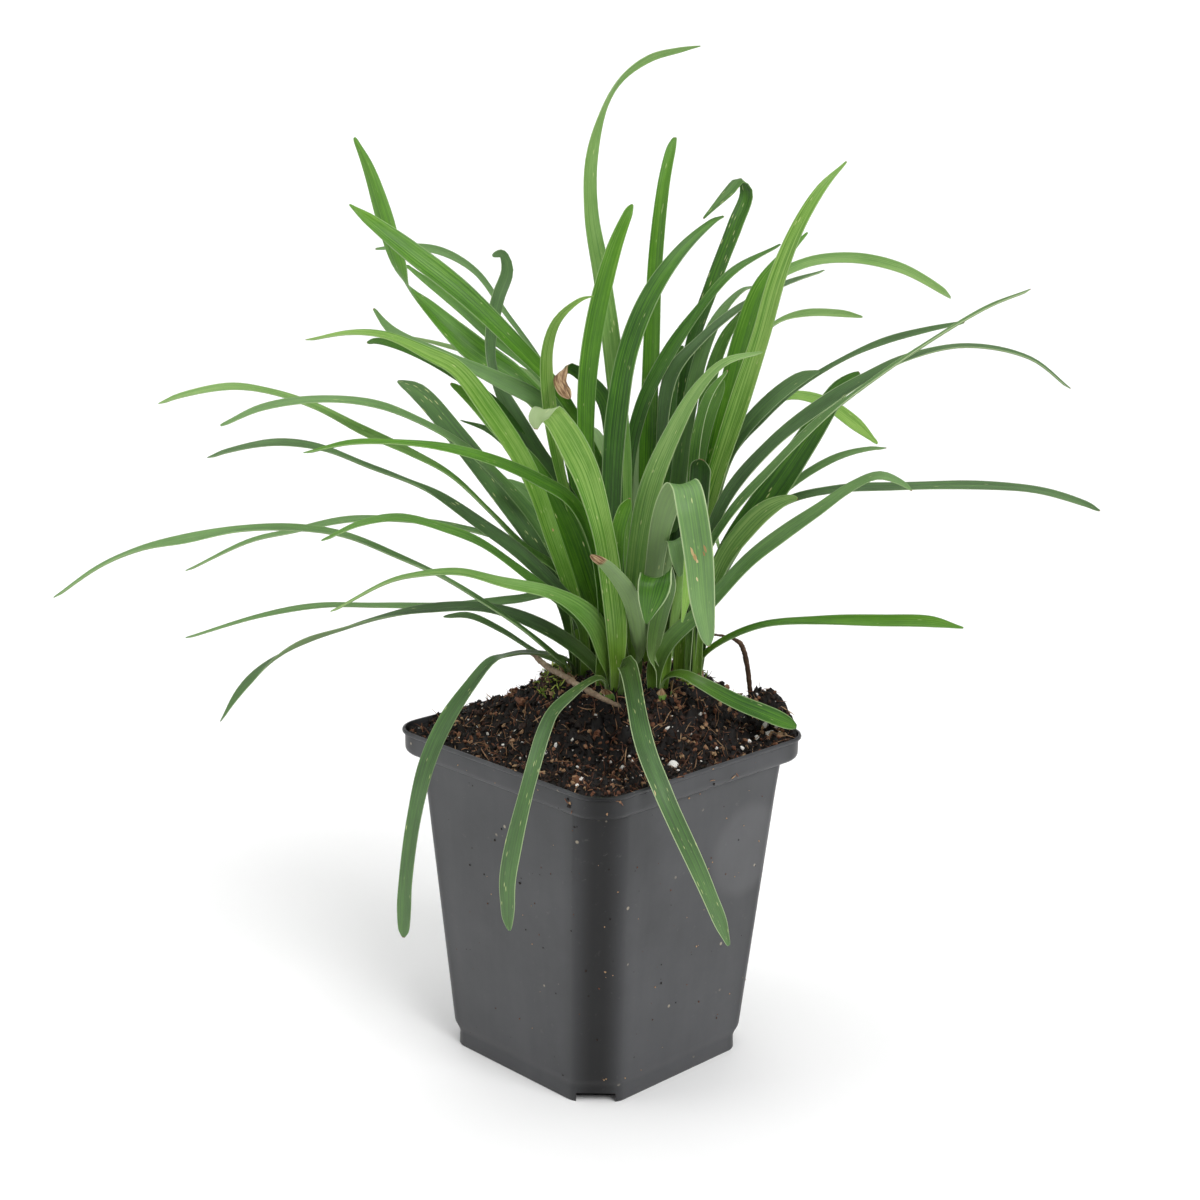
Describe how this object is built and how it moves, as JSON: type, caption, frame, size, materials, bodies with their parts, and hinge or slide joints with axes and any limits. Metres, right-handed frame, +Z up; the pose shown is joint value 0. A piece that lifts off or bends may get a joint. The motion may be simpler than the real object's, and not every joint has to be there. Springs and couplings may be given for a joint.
{
  "type": "liriope in a square nursery pot",
  "caption": "Young liriope, an ornamental grass with arching strap leaves in several tufts, growing in peat in a square black nursery pot that stands on its flat floor.",
  "frame": {"origin": "middle of the pot's flat floor, on the surface it stands on", "axes": "+Z up; the pot's corners point along +X, -X, +Y and -Y, and the plant's viewing side faces -Y"},
  "size_m": [0.2728, 0.235, 0.298],
  "materials": {
    "pot_plastic": "satin moulded black plastic, dusty",
    "peat": "moist dark peat with fibres, perlite and moss",
    "leaf": "satin green leaf with fine parallel veins",
    "dry_wood": "weathered dead twig",
    "dry_stalk": "dry brown dead shoot"
  },
  "bodies": {
    "root": {"pot": "pot_plastic", "soil": "peat", "tuft_left": "leaf", "tuft_left_back": "leaf", "tuft_front": "leaf", "tuft_centre": "leaf", "tuft_centre_back": "leaf", "tuft_right_front": "leaf", "tuft_right": "leaf", "tuft_back": "leaf", "twig": "dry_wood", "dry_shoot": "dry_stalk"}
  },
  "joints": []
}
